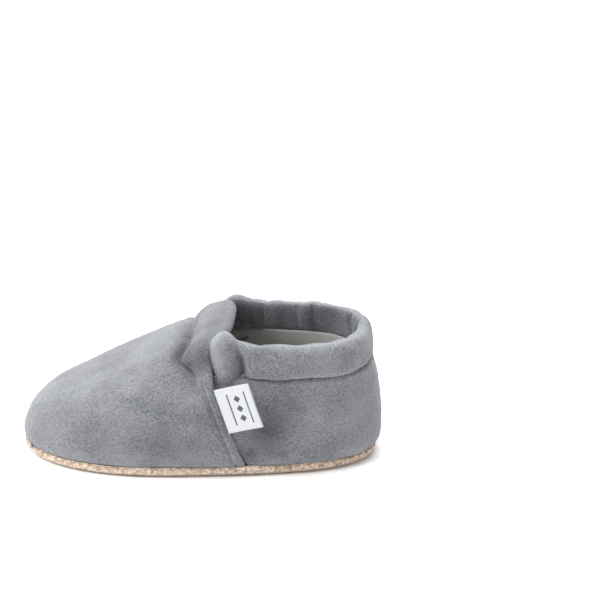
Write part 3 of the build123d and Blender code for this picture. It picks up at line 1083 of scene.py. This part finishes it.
@dataclass
class ToeLining:
    """Ribbed cotton inside the toe panel."""

    panel: ToePanel
    finishes: Finishes
    inset: float = 3.9

    def build(self) -> None:
        """Builds the lining as a sheet inside the panel."""
        points = self.panel.arches
        normal = normals_of(points)
        points, normal = points[4:-20:2, ::2], normal[4:-20:2, ::2]
        points = points - normal * (self.inset + 0.4 * cloud(points, 10.0, 31.0))[:, :, None]
        points[:, :, 2] = np.maximum(points[:, :, 2], self.panel.last.seam_z + 0.9)
        lay_cloth(points, "toe_lining_cloth", self.finishes.lining, ("toe_lining",),
                  LINING_CLOTH)


@dataclass
class HeelPanel:
    """Velour round the heel and the lining inside it."""

    last: Last
    finishes: Finishes
    top_z: float
    rows: int = 80
    columns: int = 420
    inset: float = 1.45
    surface: np.ndarray = field(init=False)

    def sheet(self, inset: float, low: float, high: float, tuck: float) -> np.ndarray:
        """Even grid round the heel.

        Args:
            inset: how far inside the form it lies.
            low: height of its bottom row.
            high: height of its top row.
            tuck: how far its ends run in under the toe panel.

        Returns:
            Rows by columns of points, from the label side round the heel.
        """
        rows = []
        for z in np.linspace(low, high, self.rows):
            ring = self.last.ring(z, inset, 2400)
            kept = ring[ring[:, 1] > float(self.last.edge_y(z)) - tuck]
            rows.append(evenly(kept, self.columns))
        return np.array(rows)

    def build(self) -> None:
        """Builds the panel and its lining."""
        points = self.sheet(self.inset, self.last.seam_z - 0.2, self.top_z, 7.0)
        normal = normals_of(points)
        height = points[:, :, 2] - self.last.seam_z
        below = self.top_z - points[:, :, 2]
        run = row_run(points)
        behind = points[:, :, 1] - self.last.edge_y(points[:, :, 2])
        crease = ramp(points[:, :, 1], 11.5, 16.0)
        lift = 0.50 * cloud(points, 24.0, 11.0) + 0.28 * cloud(points, 10.0, 12.0)
        lift *= ramp(height, 0, 7)
        lift += 0.07 * cloud(points, 2.6, 13.0)
        lift += 1.25 * (1 - ramp(height, 0.0, 8.0)) - 0.15 * bump(height, 0.0, 0.5)
        lift += 0.50 * bump(height, 2.6, 3.0)
        lift += 0.15 * np.sin(run / 2.3 + 1.3 * cloud(points, 8.0, 14.0)) * bump(height, 1.8, 2.0)
        folds = np.sin(run / 1.9 + 2.0 * cloud(points * np.array([1, 1, 0.2]), 11.0, 15.0))
        lift += 0.30 * folds * np.exp(-below / 6.0) * crease
        lift -= 1.9 * bump(below, 0.0, 1.5) * crease
        lift -= (1 - crease) * 0.9 * ramp(points[:, :, 2], 28.0, 34.0)
        lift -= 0.5 * bump(behind, 0.0, 3.2)
        full = lift
        lift = press(points, lift, HEEL_HOLLOWS)
        # painted shade in the hollows, partly standing for pile flattened there and, beside the label,
        # for the label's shadow; painted highlight of up to 8% over the back of the heel
        painted_shading = 0.52 * (full - lift) - 0.08 * ramp(points[:, :, 1], 42.0, 60.0)
        under = -0.5 - 1.4 * ramp(points[:, :, 2], 29.0, 36.0)
        lift = lift + (1 - ramp(behind, 0, 2.0)) * (under - lift)
        points = points + normal * lift[:, :, None]
        self.surface = points
        lay_cloth(points, "heel_panel_cloth", self.finishes.velour, ("heel_panel",),
                  VELOUR_CLOTH, painted_shading)
        self.lining()

    def lining(self) -> None:
        """Ribbed cotton inside the heel."""
        points = self.sheet(4.3, self.last.seam_z + 0.1, self.top_z - 0.2, 9.0)[::2, ::2]
        normal = normals_of(points)
        lift = 0.45 * cloud(points, 12.0, 21.0) + 0.18 * cloud(points, 5.0, 22.0)
        points = points + normal * lift[:, :, None]
        lay_cloth(points, "heel_lining_cloth", self.finishes.lining, ("heel_lining",),
                  LINING_CLOTH)


@dataclass
class Collar:
    """Rolled and gathered velour casing round the ankle."""

    last: Last
    finishes: Finishes
    bottom: float
    top: float
    thickness: float = 5.4
    front_y: float = 2.0
    columns: int = 480
    rows: int = 84
    inner_drop: float = 0.6
    middle_inset: float = 3.2
    lean: float = 0.13
    surface: np.ndarray = field(init=False)
    angles: np.ndarray = field(init=False)

    def build(self) -> None:
        """Builds the rolled strip."""
        height = self.top - self.bottom
        angle = np.radians(np.linspace(-86, 268, self.rows))
        out = np.sign(np.cos(angle)) * np.abs(np.cos(angle)) ** 0.62 * self.thickness / 2
        level = np.sign(np.sin(angle)) * np.abs(np.sin(angle)) ** 0.80
        heights = self.bottom + height / 2 + level * height / 2
        inner = (angle > math.pi / 2) & (level < 0)
        heights = np.where(inner, heights + level * self.inner_drop, heights)
        middle_z = self.bottom + height / 2
        rows = []
        for reach, z in zip(out, heights):
            inset = self.middle_inset - float(reach) + self.lean * (float(z) - middle_z)
            ring = self.last.ring(middle_z, inset, 2400)
            kept = evenly(ring[ring[:, 1] > self.front_y], self.columns)
            kept[:, 2] = z
            rows.append(kept)
        points = np.array(rows)
        normal = normals_of(points)
        run = along(points[self.rows // 4])
        near_end = np.minimum(run, run[-1] - run)[None, :]
        outside = np.clip(np.cos(angle), 0, 1)[:, None]
        inside = np.clip(-np.cos(angle), 0, 1)[:, None]
        crown = np.clip(np.sin(angle), 0, 1)[:, None]
        high = np.clip((points[:, :, 2] - self.bottom) / height, 0, 1)
        puffs = self.puffs(run)[None, :]
        lift = puffs * (0.30 * outside + 0.85 * inside + 0.40 * crown)
        lift += 0.40 * cloud(points, 13.0, 41.0) + 0.18 * cloud(points, 6.0, 43.0)
        lift += 0.07 * cloud(points, 2.6, 42.0)
        fold = bump(near_end + 2.0 * (high - 0.5), 13.8, 1.45) + 0.35 * bump(near_end, 14.1, 3.2)
        lift -= 2.3 * fold * (0.10 + 0.90 * outside) * ramp(1 - high, 0.02, 0.40)
        lift += 1.9 * bump(near_end, 7.8, 4.4) * (outside + 0.4 * crown)
        lift += 0.6 * bump(near_end, 18.5, 3.5) * outside
        points = points + normal * lift[:, :, None]
        label_side = ramp(points[:, :, 0], -2.0, 2.0)
        rise = (0.9 + 2.1 * label_side) * bump(near_end, 8.8, 5.2) - 0.6 * bump(near_end, 27.0, 13.0)
        rise = rise - 4.0 * bump(near_end, 0.0, 3.2)
        hang = 6.0 * (1 - ramp(near_end, 10.5, 16.0)) * (angle < math.pi / 2)[:, None]
        points[:, :, 2] += rise * high - hang * (1 - high)
        draw_in = 3.0 * bump(near_end, 0.0, 3.6)
        draw_in = draw_in + 1.3 * (1 - ramp(near_end, 10.5, 16.0)) * (1 - high)
        points[:, :, 0] -= np.sign(points[:, :, 0]) * draw_in
        # painted shade: the collar's inside up to 36% darker and the fold at its front ends darker;
        # painted highlight: its top up to 32% lighter
        painted_shading = 0.36 * inside ** 0.5 - 0.32 * crown ** 4 + 0.55 * fold * outside * (1 - high)
        self.surface, self.angles = points, angle
        lay_cloth(points, "heel_collar_cloth", self.finishes.velour, ("heel_collar",),
                  COLLAR_CLOTH, painted_shading)

    def puffs(self, run: np.ndarray) -> np.ndarray:
        """Rounded puffs with narrow creases between them, along the collar.

        Args:
            run: length along the collar.

        Returns:
            Heights from about -1 to 1.
        """
        rng = np.random.default_rng(5)
        drift = np.interp(run, np.linspace(0, run[-1], 22), rng.normal(size=22))
        strength = np.interp(run, np.linspace(0, run[-1], 28), rng.uniform(0.25, 1.0, 28))
        return strength * (1.7 * np.abs(np.sin(run / 3.9 + 0.9 * drift)) ** 0.8 - 1.1)


@dataclass
class Elastics:
    """Flat woven elastics inside the two casings."""

    toe: ToePanel
    collar: Collar
    finishes: Finishes
    width: float = 10.0
    thickness: float = 0.8

    def build(self) -> None:
        """Builds both elastics."""
        toe = self.toe
        kept = toe.arches[-1, :, 2] > 43.0
        start = 0.5 * (toe.band - self.width) + 0.4
        rows = [toe.at_distance(start + share * self.width, -1.75)[kept]
                for share in np.linspace(1, 0, 16)]
        self.band(np.array(rows), "instep_elastic")
        collar = self.collar
        rows = []
        for turn in np.radians(np.linspace(-54, 54, 18)):
            pair = [np.argmin(np.abs(collar.angles - side)) for side in (turn, math.pi - turn)]
            rows.append(evenly(collar.surface[pair].mean(axis=0)[58:-58], 240))
        self.band(np.array(rows), "collar_elastic")

    def band(self, points: np.ndarray, node: str) -> None:
        """One elastic from its middle surface."""
        piece = finish_piece(grid_mesh(points), node + "_band", self.finishes.elastic,
                             (node,))
        thicken(piece, self.thickness)
        piece.modifiers["thickness"].offset = 0
        (run, _), area = cut_size(points)


@dataclass
class Threads:
    """Rows of short stitches, laid again on the finished cloth."""

    last: Last
    toe: ToePanel
    heel: HeelPanel
    finishes: Finishes
    length: float = 2.1
    pitch: float = 3.4

    def build(self) -> None:
        """Builds the four rows."""
        sole = self.last.ring(self.last.seam_z - 0.75, -0.62, 900)
        self.row([sole], "sole_seam_stitches", self.finishes.sole_thread, Slot.SOLE_THREAD)
        edge = self.toe.at_distance(2.5, 0.02)
        low = (edge[:, 2] > 6.5) & (edge[:, 2] < 37.0)
        sides = [edge[low & (edge[:, 0] * side > 0)] for side in (1, -1)]
        self.row(sides, "edge_stitches", self.finishes.panel_thread, Slot.PANEL_THREAD)
        casing = self.toe.at_distance(self.toe.band + 1.2, -0.05)
        self.row([casing[casing[:, 2] > 43.5]], "instep_stitches", self.finishes.panel_thread,
                 Slot.PANEL_THREAD)
        collar = self.heel.surface[-4]
        self.row([collar[collar[:, 1] > 18.0]], "collar_stitches", self.finishes.panel_thread,
                 Slot.PANEL_THREAD)

    def row(self, routes: list[np.ndarray], node: str, material: bpy.types.Material, slot: Slot) -> None:
        """One row of stitches as one piece.

        Args:
            routes: the lines that it follows.
            node: the frame's node that it stands for.
            material: its finish.
            slot: the record's slot; not used.
        """
        bm = bmesh.new()
        for route in routes:
            run = along(route)
            for start in np.arange(0.5, run[-1] - self.length, self.pitch):
                ends = [Vector(at_run(start + step, run, route)) for step in (0.0, self.length)]
                way = ends[1] - ends[0]
                turn = way.to_track_quat("Z", "Y").to_matrix().to_4x4()
                shape = Matrix.Diagonal((0.17, 0.17, 0.5 * way.length, 1.0))
                place = Matrix.Translation((ends[0] + ends[1]) / 2) @ turn @ shape
                bmesh.ops.create_uvsphere(bm, u_segments=8, v_segments=6, radius=1.0, matrix=place)
        finish_piece(bm, node + "_thread", material, (node,))


@dataclass
class Label:
    """Folded satin ribbon caught in the seam."""

    finishes: Finishes
    root: Vector
    axis: Vector
    reach: float = 13.8
    length: float = 16.4
    forward: float = 1.1
    splay: float = 18.0
    leaf: float = 0.3
    gap: float = 0.3

    def build(self) -> None:
        """Builds the two leaves and the fold between them."""
        splay = math.radians(self.splay)
        up = -self.axis.normalized()
        flat = Vector((math.sin(splay), math.cos(splay), 0))
        outward = -up.cross(flat).normalized()
        away = (flat - up * flat.dot(up)).normalized()
        half = (self.gap + self.leaf) / 2
        section = [(0.0, half), (self.reach - 1.0, half), (self.reach - 0.3, 0.8 * half),
                   (self.reach, 0.0), (self.reach - 0.3, -0.8 * half), (self.reach - 1.0, -half),
                   (0.0, -half)]
        section = evenly(np.array(section), 90)
        rows = []
        for share in np.linspace(-0.5, 0.5, 40):
            row = []
            for s, n in section:
                way = s / self.reach
                curl = 0.55 * way ** 2 * math.cos(2.2 * share) - 0.25 * math.sin(3 * way)
                point = (self.root + up * (share * self.length) + away * (s + self.forward)
                         + outward * (n + curl))
                row.append(tuple(point))
            rows.append(row)
        bm = grid_mesh(np.array(rows))
        material = SatinFinish().build(self.finishes.shop, self.reach, self.length)
        piece = finish_piece(bm, "side_label_ribbon", material, ("side_label",), LABEL_BODY)
        wall = piece.modifiers.new("thickness", "SOLIDIFY")
        wall.thickness = self.leaf * MM
        wall.offset = 0


# ------------------------------------------------------------------ the stage


def build_stage() -> None:
    """Pale floor, soft studio light and the camera."""
    scene = bpy.context.scene
    scene.view_settings.view_transform = "Standard"
    bpy.ops.mesh.primitive_plane_add(size=6.0, location=(0, 0, 0))
    floor = bpy.context.object
    floor.name = "floor"
    paper = bpy.data.materials.new("white_paper")
    paper.use_nodes = True
    shader = paper.node_tree.nodes["Principled BSDF"]
    shader.inputs["Base Color"].default_value = (0.93, 0.93, 0.93, 1)
    shader.inputs["Roughness"].default_value = 0.9
    floor.data.materials.append(paper)
    world = bpy.data.worlds.new("studio")
    scene.world = world
    world.use_nodes = True
    world.node_tree.nodes["Background"].inputs[0].default_value = (1, 1, 1, 1)
    world.node_tree.nodes["Background"].inputs[1].default_value = 0.62
    for name, place, size, power in (("key", (0.40, -0.80, 0.90), 0.7, 14.0),
                                     ("top", (-0.30, 0.05, 1.25), 1.0, 20.0)):
        lamp = bpy.data.lights.new(name, "AREA")
        lamp.size = size
        lamp.energy = power
        light = bpy.data.objects.new(name, lamp)
        light.location = place
        light.rotation_euler = (Vector((0, 0, 0.02)) - Vector(place)).to_track_quat("-Z", "Y").to_euler()
        scene.collection.objects.link(light)
    azimuth, elevation, distance = math.radians(94), math.radians(22), 0.90
    target = Vector((0, 0.0345, 0.0572))
    offset = Vector((math.sin(azimuth) * math.cos(elevation), -math.cos(azimuth) * math.cos(elevation),
                     math.sin(elevation)))
    camera = bpy.data.objects.new("camera", bpy.data.cameras.new("camera"))
    camera.data.lens = 152.5
    camera.data.sensor_width = 36.0
    camera.location = target + offset * distance
    camera.rotation_euler = (-offset).to_track_quat("-Z", "Y").to_euler()
    scene.collection.objects.link(camera)
    scene.camera = camera


def main() -> None:
    """Builds the bootie around its frame."""
    logging.basicConfig(level=logging.INFO, format="%(name)s %(message)s")
    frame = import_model()
    build_stage()
    toe_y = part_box("toe_panel")[0][1] / MM
    collar_low, collar_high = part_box("heel_collar")
    last = Last(toe_y=toe_y, heel_y=-toe_y, seam_z=SEAM_Z,
                instep_z=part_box("instep_casing")[1][2] / MM - 0.5,
                ball_half=BALL_HALF, heel_half=HEEL_HALF,
                collar_half=(collar_high[0] - collar_low[0]) / 2 / MM)
    finishes = Finishes()
    Sole(last, finishes).build()
    toe = ToePanel(last, finishes)
    toe.build()
    ToeLining(toe, finishes).build()
    heel = HeelPanel(last, finishes, collar_low[2] / MM + 1.4)
    heel.build()
    collar = Collar(last, finishes, collar_low[2] / MM + 0.6, collar_high[2] / MM)
    collar.build()
    Elastics(toe, collar, finishes).build()
    Threads(last, toe, heel, finishes).build()
    joint = frame["joints"][0]
    Label(finishes, Vector(joint["pos_m"]) / MM, Vector(joint["axis"])).build()


if __name__ == "__main__":
    main()
